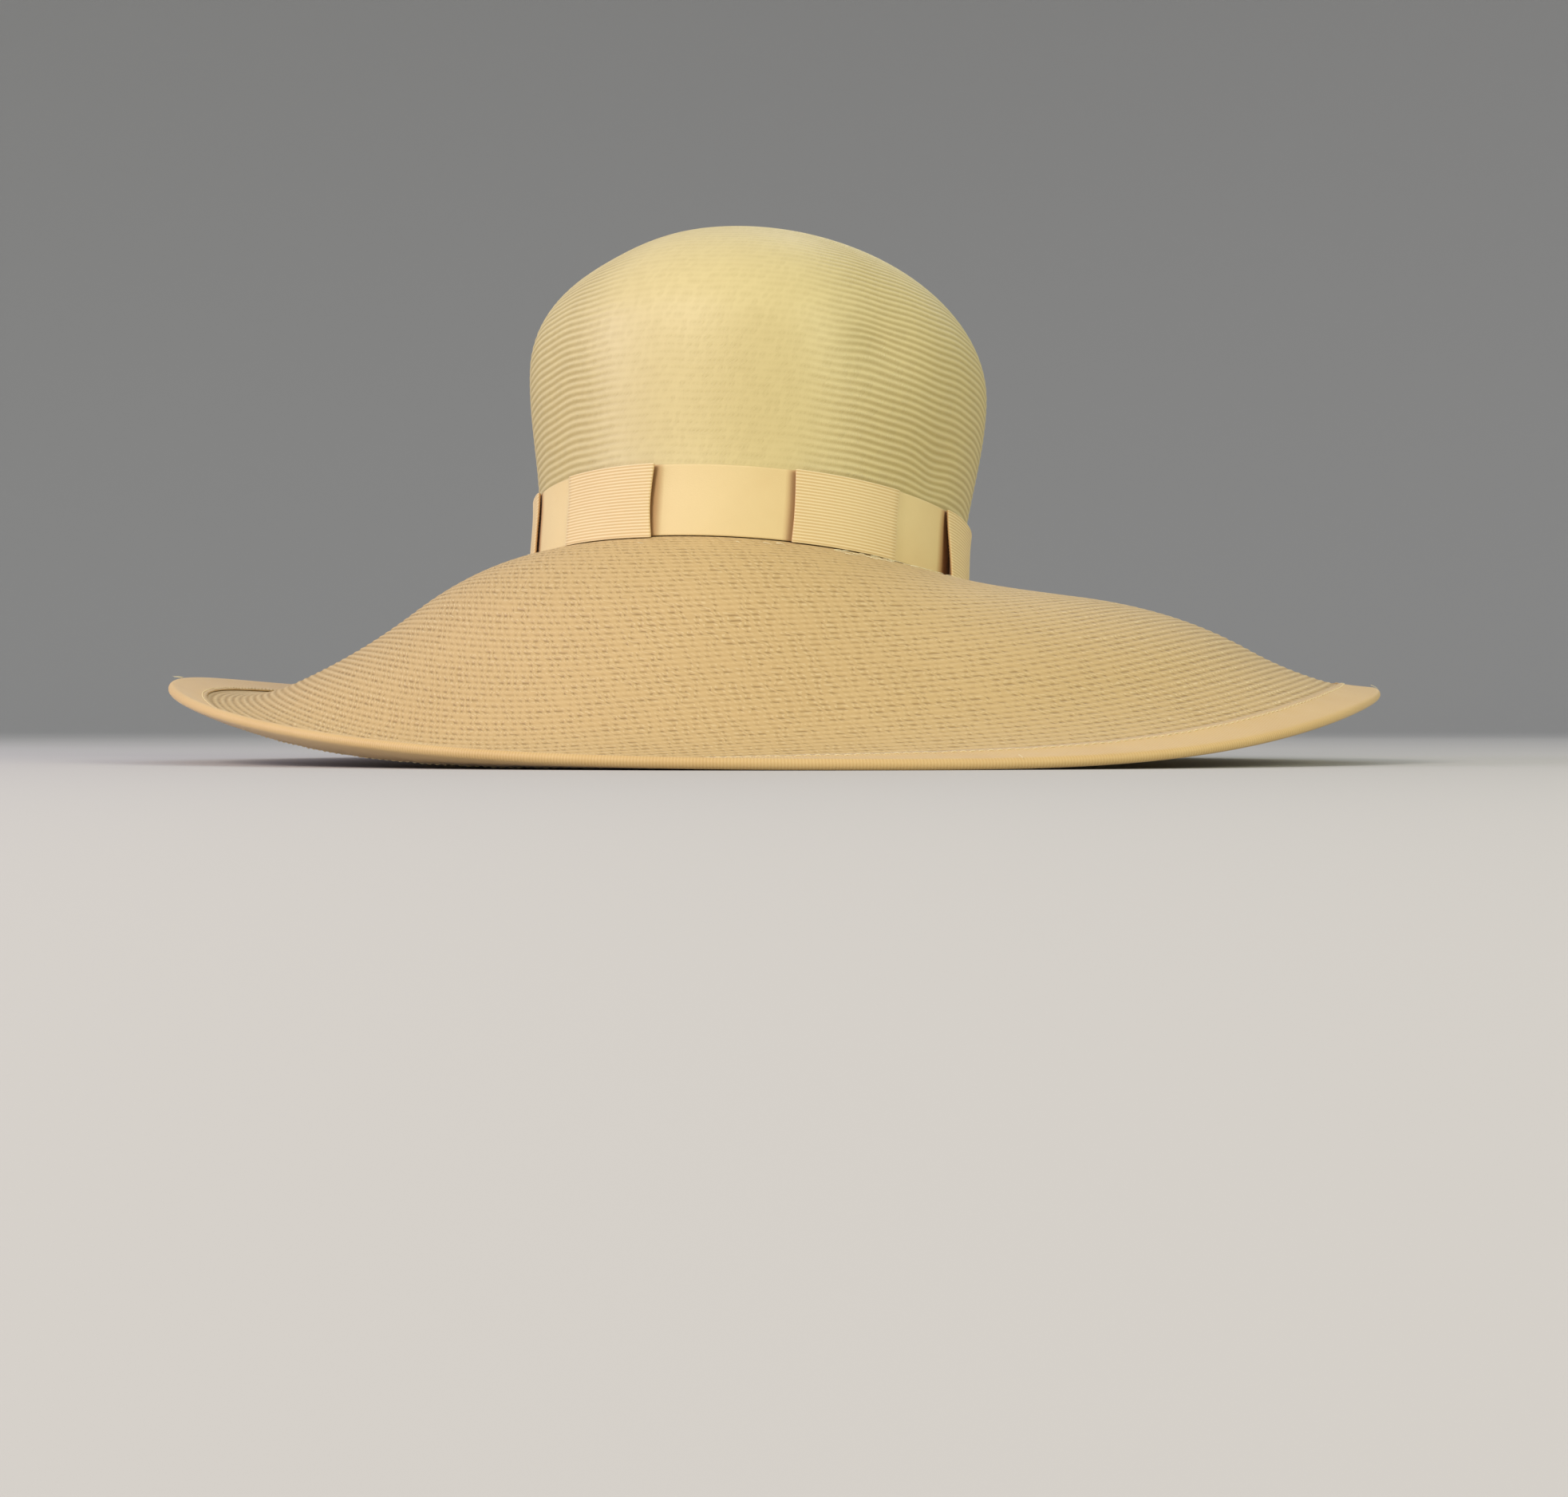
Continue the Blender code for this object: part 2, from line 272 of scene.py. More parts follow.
def linearColour(hexValue):
    # sRGB hex to linear
    channels = [int(hexValue[k:k + 2], 16) / 255 for k in (1, 3, 5)]
    return [c / 12.92 if c <= 0.04045 else ((c + 0.055) / 1.055) ** 2.4 for c in channels] + [1]


def addNode(tree, kind, inputs, **settings):
    # one node: inputs takes values, sockets or nodes, settings are its own properties
    node = tree.nodes.new(kind)
    for key, value in settings.items():
        setattr(node, key, value)
    for key, value in inputs.items():
        if isinstance(value, bpy.types.Node):
            value = value.outputs[0]
        if isinstance(value, bpy.types.NodeSocket):
            tree.links.new(value, node.inputs[key])
        else:
            node.inputs[key].default_value = value
    return node


def newMaterial(name, shaderValues):
    # a Principled material whose constant sockets are set directly
    material = bpy.data.materials.new(name)
    material.use_nodes = True
    tree = material.node_tree
    shader = tree.nodes["Principled BSDF"]
    for key, value in shaderValues.items():
        shader.inputs[key].default_value = value
    return material, tree, shader


def mathNode(tree, operation, *values, **settings):
    # one Math node on up to three values, sockets or nodes
    return addNode(tree, "ShaderNodeMath", dict(enumerate(values)), operation=operation, **settings)


def noiseNode(tree, place, scale, detail):
    # noise fixed to the object
    return addNode(tree, "ShaderNodeTexNoise", {"Vector": place, "Scale": scale, "Detail": detail})


def product(tree, *factors):
    # the factors multiplied one after another
    result = factors[0]
    for factor in factors[1:]:
        result = mathNode(tree, "MULTIPLY", result, factor)
    return result


def wave(tree, value, turns):
    # cos(2 pi turns value)
    return mathNode(tree, "COSINE", mathNode(tree, "MULTIPLY", value, 2 * np.pi * turns))


def ramp(tree, value, ends, kind="SMOOTHSTEP"):
    # 0 to 1 between the two ends
    return addNode(tree, "ShaderNodeMapRange", {"Value": value, "From Min": ends[0], "From Max": ends[1]},
                   interpolation_type=kind)


def weaveSockets(tree):
    # u and v of the weave, and the place on the object
    split = addNode(tree, "ShaderNodeSeparateXYZ", {0: addNode(tree, "ShaderNodeUVMap", {}, uv_map="weave")})
    place = addNode(tree, "ShaderNodeTexCoord", {}).outputs["Object"]
    return split.outputs[0], split.outputs[1], place


def markSocket(tree, name):
    # one of the values that addPiece sets at the points
    return addNode(tree, "ShaderNodeAttribute", {}, attribute_name=name).outputs["Fac"]


def paintLayers(tree, shader, base, layers):
    # each layer's tint is mixed over what is below it by its strength times its mask
    colour = linearColour(base)
    for strength, mask, tint in layers:
        share = mathNode(tree, "MULTIPLY", mask, strength, use_clamp=True)
        mixed = addNode(tree, "ShaderNodeMix", {"Factor": share, 6: colour, 7: linearColour(tint)},
                        data_type="RGBA")
        colour = mixed.outputs[2]
    tree.links.new(colour, shader.inputs["Base Color"])


def raiseBump(tree, shader, height, strength, distance):
    # the height bends the shader's normal
    bump = addNode(tree, "ShaderNodeBump", {"Strength": strength, "Distance": distance, "Height": height})
    tree.links.new(bump.outputs[0], shader.inputs["Normal"])


# Parasisal straw is split leaf fibre woven in rows. Each row rounds over its neighbours, with painted
# shade between rows, its twisted strands slant, and the gaps between them show as short dark dashes.
# The fibre has a soft gloss.
strawLook = {
    "Fine parasisal straw, pale": {
        "straw": "#d9ca92",
        "pale": "#ece0b4",
        # groove is painted shade between the rows, and also the darker tone of clouds and grain
        "groove": "#a39055",
        "dash": "#94804a",
        # how strong the painted shade between the rows is
        "grooveShadeStrength": 0.65,
        "dashStrength": 0.09,
        "dashDepth": 0.25,
        "strokeStrength": 0.50,
        "grainStrength": 0.24,
        "cloudStrength": 0.18,
        "roughness": 0.48,
    },
    "Parasisal straw, tan": {
        "straw": "#cdb17b",
        "pale": "#e6d2a2",
        # groove is painted shade between the rows, and also the darker tone of clouds and grain
        "groove": "#a4864f",
        "dash": "#8d6f3c",
        # how strong the painted shade between the rows is
        "grooveShadeStrength": 0.50,
        "dashStrength": 0.62,
        "dashDepth": 1.3,
        "strokeStrength": 0.85,
        "grainStrength": 0.28,
        "cloudStrength": 0.26,
        "roughness": 0.54,
    },
}


# the strands of both straws, for u counted in stitches and v in rows
strandForm = {
    "wanderScale": 190,
    "wanderReach": 1.7,
    "slant": 0.75,
    "tone": (1.0, 0.25),          # how far the stitches differ in tone, and the least tone
    "dashEnds": (-0.3, 0.6),
    "dashNarrowing": 2.5,
    "strokeEnds": (-0.1, 0.9),
    "plump": (0.92, 0.08),        # how far the strokes follow the relief, and what is left without it
    "cloudScale": 22,
    "bumpStrength": 0.6,
    "bumpDistance": 0.00022,
}


def strawMaterial(name):
    # between rows sin^2(pi v) is near 1, and there the straw gets painted shade as deep as its relief.
    # Dark dashes lie there where cos 2 pi (u - slant v) is high, and pale strokes lie on the rows' backs
    # where cos 4 pi (u - slant v) is. The grain of single fibres is cos(4 pi u) cos(6 pi v)
    look, strand = strawLook[name], strandForm
    material, tree, shader = newMaterial(name, {
        "Roughness": look["roughness"],
        "IOR": 1.5,
        "Specular IOR Level": 0.45,
        "Sheen Weight": 0.05,
        "Sheen Roughness": 0.4,
    })
    u, v, place = weaveSockets(tree)
    relief = markSocket(tree, "relief")
    row = wave(tree, v, 1)
    groove = mathNode(tree, "MULTIPLY_ADD", row, -0.5, 0.5)
    back = mathNode(tree, "MULTIPLY_ADD", row, 0.5, 0.5)

    # strands wander a little, so neither dashes nor strokes line up
    wander = noiseNode(tree, place, strand["wanderScale"], 2)
    wander = mathNode(tree, "MULTIPLY_ADD", wander, strand["wanderReach"], u)
    slanted = mathNode(tree, "MULTIPLY_ADD", v, -strand["slant"], wander)
    stitchAt = addNode(tree, "ShaderNodeCombineXYZ", {
        0: mathNode(tree, "FLOOR", slanted),
        1: mathNode(tree, "FLOOR", v),
    })
    tone = addNode(tree, "ShaderNodeTexWhiteNoise", {"Vector": stitchAt}, noise_dimensions="2D")
    tone = mathNode(tree, "MULTIPLY_ADD", tone, *strand["tone"])

    narrow = mathNode(tree, "POWER", groove, strand["dashNarrowing"])
    dash = product(tree, ramp(tree, wave(tree, slanted, 1), strand["dashEnds"]), narrow, tone)
    plump = mathNode(tree, "MULTIPLY_ADD", relief, *strand["plump"])
    stroke = ramp(tree, wave(tree, slanted, 2), strand["strokeEnds"])
    stroke = product(tree, stroke, back, tone, plump)
    grain = product(tree, wave(tree, wander, 2), wave(tree, v, 3))
    grain = product(tree, mathNode(tree, "MULTIPLY_ADD", grain, 0.5, 0.5), tone)
    # painted shade between the rows, as strong as the relief there
    deep = product(tree, groove, relief)
    cloud = noiseNode(tree, place, strand["cloudScale"], 3)
    paintLayers(tree, shader, look["straw"], (
        (look["cloudStrength"], cloud, look["groove"]),
        (look["grainStrength"], grain, look["groove"]),
        (look["strokeStrength"], stroke, look["pale"]),
        # painted shade between the rows
        (look["grooveShadeStrength"], deep, look["groove"]),
        (look["dashStrength"], dash, look["dash"]),
    ))
    height = mathNode(tree, "MULTIPLY_ADD", dash, -look["dashDepth"], stroke)
    raiseBump(tree, shader, height, strand["bumpStrength"], strand["bumpDistance"])
    return material


# Petersham ribbon is woven of fine yarn with a rib. It is matt, with a faint sheen at grazing light.
# Painted highlight lies on its ribs' ridges, and painted shade in their valleys and its creases.
ribbonLook = {
    "Peach ribbed ribbon": {
        "cloth": "#dfca94",
        # pale is painted highlight on the ribs' ridges; shade is painted shade in their valleys and the tone
        # of wear
        "pale": "#f4e2b4",
        "shade": "#c8a56c",
        # painted shade in the creases by the folds
        "crease": "#a56f3a",
        "ribAxis": 1,
        # how strong the painted highlight and shade on the ribs are
        "ribHighlightAndShade": 0.62,
        "roughness": 0.62,
        "sheen": 0.20,
    },
    "Golden tan binding ribbon": {
        "cloth": "#d1b278",
        # pale is painted highlight on the cross ribs' ridges; shade is painted shade in their valleys and
        # the tone of wear
        "pale": "#e0c48c",
        "shade": "#b58c52",
        # painted shade for creases
        "crease": "#8a5c30",
        "ribAxis": 0,
        # how strong the painted highlight and shade on the cross ribs are
        "ribHighlightAndShade": 0.22,
        "roughness": 0.55,
        "sheen": 0.20,
    },
}


# what both ribbons share
yarnForm = {
    "yarnScale": 2200,
    "cloudScale": 30,
    "wornEnds": (0.4, 0.75),
    "wornStrength": 0.25,
    # how strong the painted shade in the creases is
    "creaseStrength": 0.8,
    "bumpStrength": 0.5,
    "bumpDistance": 0.00012,
}


def ribbonMaterial(name):
    # cos(2 pi rib) for the ribs, with painted highlight on their ridges and painted shade in their valleys,
    # clouds of wear, a fine yarn grain and painted shade in the creases
    look, form = ribbonLook[name], yarnForm
    material, tree, shader = newMaterial(name, {
        "Roughness": look["roughness"],
        "IOR": 1.5,
        "Specular IOR Level": 0.35,
        "Sheen Weight": look["sheen"],
        "Sheen Roughness": 0.35,
    })
    u, v, place = weaveSockets(tree)
    ribbed = markSocket(tree, "ribbed")
    # where the creases get painted shade
    crease = markSocket(tree, "crease")
    rib = wave(tree, (u, v)[look["ribAxis"]], 1)
    # the ribs' valleys get painted shade and their ridges painted highlight; the valleys also sink the bump
    valley = product(tree, mathNode(tree, "MULTIPLY_ADD", rib, -0.5, 0.5), ribbed)
    ridgeHighlight = mathNode(tree, "SUBTRACT", ribbed, valley)
    yarn = noiseNode(tree, place, form["yarnScale"], 1)
    cloud = noiseNode(tree, place, form["cloudScale"], 3)
    worn = ramp(tree, cloud, form["wornEnds"], "LINEAR")
    # layers: wear, painted highlight on the rib ridges, painted shade in the rib valleys and in the creases
    paintLayers(tree, shader, look["cloth"], (
        (form["wornStrength"], worn, look["shade"]),
        (look["ribHighlightAndShade"], ridgeHighlight, look["pale"]),
        (look["ribHighlightAndShade"], valley, look["shade"]),
        (form["creaseStrength"], crease, look["crease"]),
    ))
    height = mathNode(tree, "MULTIPLY_ADD", valley, -1.0, yarn)
    raiseBump(tree, shader, height, form["bumpStrength"], form["bumpDistance"])
    return material


def plainMaterial(name, colour, roughness):
    # matt thread or fibre, from its own colour to a darker share of it
    darker = 0.8
    material, tree, shader = newMaterial(name, {"Roughness": roughness, "IOR": 1.5})
    place = addNode(tree, "ShaderNodeTexCoord", {}).outputs["Object"]
    tone = addNode(tree, "ShaderNodeTexNoise", {"Vector": place, "Scale": 300})
    deep = [channel * darker for channel in linearColour(colour)[:3]] + [1]
    mixed = addNode(tree, "ShaderNodeMix", {"Factor": tone, 6: linearColour(colour), 7: deep},
                    data_type="RGBA")
    tree.links.new(mixed.outputs[2], shader.inputs["Base Color"])
    return material


paleStraw = strawMaterial("Fine parasisal straw, pale")
tanStraw = strawMaterial("Parasisal straw, tan")
peachRibbon = ribbonMaterial("Peach ribbed ribbon")
tanRibbon = ribbonMaterial("Golden tan binding ribbon")
stitchThread = plainMaterial("Cotton sewing thread", "#ecdcae", 0.7)
looseFibre = plainMaterial("Bare straw fibre", "#f2eac2", 0.4)
print("materials ready")

bindingForm = {
    "width": 0.013,
    "gapToStraw": 0.00015,
    "flapWall": 0.0005,       # at the flap's own edge
    "edgeWall": 0.0011,       # at the rolled edge
    "flapRows": 9,
    "turnRows": 9,
    "columns": 480,
    "ribPitch": 0.0011,
    # the ribbon puckers between its stitches: waves round the hat, and their height
    "puckers": ((47, 0.00005), (83, 0.00006), (131, 0.00005)),
    "puckerShift": 0.25,      # the puckers are highest at a quarter of the flap, and gone at three
    "underTurn": 7,           # degrees between the puckers of the two flaps
    "thickensFrom": 0.15,     # share of the flap
}


def bindingLift(azimuth, along):
    # height of the ribbon's outer face over the straw, along running 0 to 1 from flap edge to roll:
    # a wall that thickens, and sine waves that fade out as sin(pi (along + shift))
    form = bindingForm
    thicker = (form["edgeWall"] - form["flapWall"]) * smoothStep(along, form["thickensFrom"], 1)
    pucker = sum(height * np.sin(np.radians(waves * azimuth) + waves) for waves, height in form["puckers"])
    fade = np.sin(np.pi * np.clip(along + form["puckerShift"], 0, 1))
    return form["gapToStraw"] + (form["flapWall"] + thicker) + pucker * fade


def bindingShare(along):
    # share of the brim's width where the flap is that far along
    meanWidth = hatForm["brimWidth"] * np.mean([row[4] for row in hatForm["brimSections"]])
    return 1 - bindingForm["width"] / meanWidth * (1 - along)


def bindingGrid():
    # section carried round the edge: flap above, half circle round the straw, flap below, and back
    form = bindingForm
    azimuth = evenAzimuths(form["columns"])
    along = np.linspace(0, 1, form["flapRows"])[:, None]
    point, outward, upward = brimFrame(azimuth, bindingShare(along))
    wall = hatForm["strawWall"]
    lift = bindingLift(azimuth, along)[..., None]
    top = point + upward * lift
    under = point - upward * (wall + bindingLift(azimuth + form["underTurn"], along)[..., None])
    edge, edgeOut, edgeUp = point[-1], outward[-1], upward[-1]
    angle = np.linspace(np.pi / 2, -np.pi / 2, form["turnRows"] + 2)[1:-1, None, None]
    centre = edge - edgeUp * wall / 2
    spoke = edgeOut * np.cos(angle) + edgeUp * np.sin(angle)
    roll = centre + spoke * (wall / 2 + lift[-1])
    hem = wall / 2 + form["gapToStraw"]
    innerRoll = centre + spoke[::-1] * hem
    innerTop = point + upward * form["gapToStraw"]
    innerUnder = point - upward * (wall + form["gapToStraw"])
    return np.concatenate([top, roll, under[::-1], innerUnder, innerRoll, innerTop[::-1]])


edgeGrid = bindingGrid()


def restingShift():
    # puts the middle of the binding's bounds over the origin, and its lowest point on the floor
    turned = edgeGrid @ restTurn.T
    shift = -(turned.min((0, 1)) + turned.max((0, 1))) / 2
    shift[2] = -turned[..., 2].min()
    return shift


restShift = restingShift()


def laid(points):
    # from the hat's own axes to where it lies
    return points @ restTurn.T + restShift


def makeBinding():
    # the folded ribbon's section carried round the rim, with its cross ribs counted along the roll
    grid = laid(edgeGrid)
    rim = edgeGrid[bindingForm["flapRows"] + bindingForm["turnRows"] // 2]
    rimLength = np.linalg.norm(np.roll(rim, -1, 0) - rim, axis=1).sum()
    turns = round(rimLength / bindingForm["ribPitch"])
    strips = np.arange(len(grid), dtype=float)
    binding = gridPiece("edge_binding", grid, (turns, 0, strips, strips + 1), tanRibbon,
                        closed=True, marks={"ribbed": np.ones(grid.shape[:2])})
    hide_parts("brim_binding")


makeBinding()
print("binding ready")

rowShift = 0.5                # stitches that a row is set off from the one before it

crownWeave = {
    "rowPitch": 0.0027,
    "rowSamples": 4,
    "columns": 232,
    "rowDepth": 0.00036,
    "stitchPitch": 0.0017,
    "leastStitches": 3,       # in the short rows round the tip
    "footHeight": 0.0004,
    "profileSteps": 400,
    "wander": 0.00020,        # how far each wave of the rows goes up and down
    "wanderWaves": (3, 7, 12, 23),
    "flatRelief": 0.04,       # share of the row depth that is left in front
    # degrees from the front, and shares of the way up, where the full depth comes back
    "reliefLeft": (14, 38),
    "reliefRight": (24, 46),
    "reliefTop": (0.55, 0.85),
    # small dimples: azimuth, share of the way up, spread in degrees, reach as a share, how far the
    # rows slide up there, and how deep it is
    "dimples": (
        (36, 0.36, 8, 0.050, 0.0020, 0.0011),
        (60, 0.20, 7, 0.060, -0.0016, 0.0013),
        (-44, 0.25, 9, 0.080, 0.0012, 0.0008),
    ),
}


def crownProfile():
    # lengths and heights up the mean profile: a straight side, then a quarter ellipse
    form = hatForm
    theta = np.linspace(0, np.pi / 2, crownWeave["profileSteps"])
    domeRise = form["crownHeight"] - form["crownWidestAt"]
    reach = (form["headWidth"] + form["headLength"]) / 4 + form["crownSwell"]
    height = form["crownWidestAt"] + domeRise * np.sin(theta)
    height = np.concatenate([[crownWeave["footHeight"]], height])
    radius = np.concatenate([[reach], reach * np.cos(theta)])
    length = np.concatenate([[0], np.cumsum(np.hypot(np.diff(height), np.diff(radius)))])
    return length, height


def rowRelief(v, depth):
    # rounded straw rows: -depth sin^2(pi v), so that a row's back is at whole v
    return -depth * np.sin(np.pi * v) ** 2


def makeCrown():
    # rows of the woven straw on the crown's surface, sunk by a bell exp(-x^2 - y^2) at each dimple
    weave = crownWeave
    length, height = crownProfile()
    arc = length[-1]
    rows = round(arc / weave["rowPitch"])
    samples = weave["rowSamples"]
    v = np.arange(rows * samples)[::-1] / samples        # from just under the tip to the foot
    azimuth = evenAzimuths(weave["columns"])
    shake = sum(np.sin(np.radians(k * azimuth) + k * k) for k in weave["wanderWaves"])
    shares = v[:, None] / rows
    settled = np.sqrt(np.sin(np.pi * shares)) * weave["wander"] / arc
    slid, sunk = 0, 0
    for dimpleAzimuth, middle, spread, reach, slide, depth in weave["dimples"]:
        across = apart(azimuth, dimpleAzimuth) / spread
        bell = np.exp(-across * across - ((shares - middle) / reach) ** 2)
        slid = slid + slide / arc * bell
        sunk = sunk + depth * bell
    up = np.clip(shares + shake * settled + slid, 0, 1)
    face = crownSurface(azimuth, np.interp(up * arc, length, height))
    face = face - gridNormals(face) * sunk[..., None]
    normal = gridNormals(face)
    # the block ironed the rows flatter in front than at the sides and the back
    turn = apart(azimuth, 0)
    side = smoothStep(turn, *weave["reliefLeft"]) + smoothStep(-turn, *weave["reliefRight"])
    flat = (1 - side) * (1 - smoothStep(shares, *weave["reliefTop"]))
    relief = 1 - (1 - weave["flatRelief"]) * flat
    outer = face + normal * (relief * rowRelief(v, weave["rowDepth"])[:, None])[..., None]
    inner = (face - normal * hatForm["strawWall"])[::-samples]
    grid = np.concatenate([outer, inner])
    # inside, a strip is as tall as a row, and v counts up again
    insideRow = np.arange(len(inner) - 1.0)
    vNear = np.concatenate([v[:-1], [0.0], insideRow])
    vFar = np.concatenate([v[1:], [0.0], insideRow + 1])
    row = np.floor(np.minimum(vNear, vFar)).astype(int)
    around = np.linalg.norm(np.diff(face[::-samples], axis=1), axis=-1).sum(1) / weave["stitchPitch"]
    turns = np.maximum(np.round(around), weave["leastStitches"])[row]
    tip = np.array([-hatForm["tipLean"], 0, hatForm["crownHeight"]])
    tips = laid(np.array([tip, tip - [0, 0, hatForm["strawWall"]]]))
    marks = {"relief": np.concatenate([relief, np.ones(inner.shape[:2])])}
    crown = gridPiece("straw_crown", laid(grid), (turns, row * rowShift % 1, vNear, vFar), paleStraw,
                      tips=tips, marks=marks)
    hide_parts("crown")


makeCrown()
print("crown ready")

brimWeave = {
    "rowPitch": 0.0027,
    "rowSamples": 3,
    "columns": 240,
    "rowDepth": 0.00032,
    "stitchPitch": 0.0042,
    "flatRelief": 0.42,       # share of the row depth that is left in front
    "reliefSides": (35, 75),  # degrees from the front where the full depth comes back
    "flatUnderFlap": 0.1,     # share of the flap over which the rows fade out under it
}


def makeBrim():
    # rows of the woven straw on both faces of the brim, smooth where the binding covers them
    weave = brimWeave
    rows = round(hatForm["brimWidth"] / weave["rowPitch"])
    samples = weave["rowSamples"]
    v = np.arange(rows * samples + 1) / samples
    azimuth = evenAzimuths(weave["columns"])
    face, _, upward = brimFrame(azimuth, v[:, None] / rows)
    bare = 1 - smoothStep(v / rows, bindingShare(0), bindingShare(weave["flatUnderFlap"]))
    depth = (rowRelief(v, weave["rowDepth"]) * bare)[:, None]
    side = smoothStep(np.abs(apart(azimuth, 0)), *weave["reliefSides"])
    relief = np.broadcast_to(weave["flatRelief"] + (1 - weave["flatRelief"]) * side, face.shape[:2])
    top = face + upward * (depth * relief)[..., None]
    under = face - upward * (hatForm["strawWall"] + depth[..., None])
    grid = np.concatenate([top, under[::-1]])
    vNear = np.concatenate([v, v[::-1]])
    vFar = np.roll(vNear, -1)
    row = np.minimum(np.floor(np.minimum(vNear, vFar)), rows - 1).astype(int)
    around = np.linalg.norm(np.diff(face[::samples], axis=1), axis=-1).sum(1) / weave["stitchPitch"]
    turns = np.round(around)[row]
    marks = {"relief": np.concatenate([relief, np.ones(relief.shape)])}
    brim = gridPiece("straw_brim", laid(grid), (turns, row * rowShift % 1, vNear, vFar), tanStraw,
                     closed=True, marks=marks)
    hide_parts("brim")


makeBrim()
print("brim ready")

bandForm = {
    "height": 0.0251,         # of its upper edge
    "clearOfBrim": 0.0003,
    "wall": 0.00035,
    "baseLift": 0.0006,       # middle of the ribbon over the straw
    "layerPitch": 0.0007,
    "ribPitch": 0.00107,
    "ribDepth": 0.00013,
    "plainRibs": 0.2,         # share of the ribs' depth where the ribbon isn't marked as ribbed
    "bowLeft": 0.3,           # degrees that a fold bows at half its height
    "bowRight": 0.8,
    "metresPerDegree": 0.00155,
    "runStep": 1.6,           # degrees between columns
    "turnColumns": 7,         # round each fold
    # going under a fold: degrees past it, and how much painted shade the crease gets there
    "goingUnder": ((-2.4, 0), (-0.6, 0.7), (1, 1)),
    # coming back out: degrees past the fold, and layers off the straw
    "comingOut": (4.5, 1.2),
    # over the fold: degrees past it, then the shares of its stand, flare and bow that are left
    "goingOver": (3, 0.97, 0.8, 0.6),
    # down again: degrees past the ends of the under-layers, layers off the straw, and ribbed
    "comingDown": ((0.5, 2.2, 1), (1.2, 1, 0), (3, 0, 0)),
    "layersAtBack": 2.4,
    # fold azimuth, how far its under-layers reach beyond it, how far the fold stands off the straw,
    # and how much further at its foot than at half its height
    "foldsLeft": (
        (17.5, 27.5, 0.0030, 0.0002),
        (66.0, 27.5, 0.0042, 0.0018),
        (114.5, 27.5, 0.0030, 0.0003),
        (163.0, 13.0, 0.0028, 0),
    ),
    "foldsRight": (
        (17.5, 27.5, 0.0030, -0.0002),
        (66.0, 27.5, 0.0024, 0.0002),
        (114.5, 27.5, 0.0030, 0.0003),
        (163.0, 13.0, 0.0028, 0),
    ),
}


def ribbonPath(folds, bow):
    # half the band from the front to the back: under each fold, back to it, over it and on.
    # columns are azimuth, distance off the straw, flare, ribbed, painted crease shade and bow
    form = bandForm
    base, pitch = form["baseLift"], form["layerPitch"]
    radius = pitch / 2
    radiusDegrees = radius / form["metresPerDegree"]
    turn = np.linspace(-np.pi / 2, np.pi / 2, form["turnColumns"])
    path = [(0, base, 0, 0, 0, 0)]
    for number, (fold, reach, stand, flare) in enumerate(folds):
        end = fold + reach
        # each point carries how much painted shade its crease gets
        path += [(fold + past, base, 0, 0, crease, 0) for past, crease in form["goingUnder"]]
        path += [(end + radiusDegrees * np.cos(a), base + radius + radius * np.sin(a), 0, 0, 1, 0)
                 for a in turn]
        past, layers = form["comingOut"]
        path += [(fold + past, base + pitch * layers, 0, 0, 1, 0)]
        # round the fold's edge the painted crease shade fades out from its under side to its top
        path += [(fold - radiusDegrees * np.cos(a), stand - radius + radius * np.sin(a), flare, 1,
                  0.5 - 0.5 * np.sin(a), bow) for a in turn]
        past, standLeft, flareLeft, bowLeft = form["goingOver"]
        path += [(fold + past, stand * standLeft, flare * flareLeft, 1, 0, bow * bowLeft)]
        if number < len(folds) - 1:
            path += [(end + past, base + pitch * layers, 0, ribbed, 0, 0)
                     for past, layers, ribbed in form["comingDown"]]
    path += [(180, base + pitch * form["layersAtBack"], 0, 0, 0, 0)]
    return np.array(path)


def resampled(path, step):
    # points no further apart than step along the path, keeping its own points
    pieces = []
    for start, end in zip(path[:-1], path[1:]):
        count = max(1, int(np.ceil(abs(end[0] - start[0]) / step)))
        share = np.arange(count)[:, None] / count
        pieces.append(start + (end - start) * share)
    return np.concatenate(pieces + [path[-1:]])


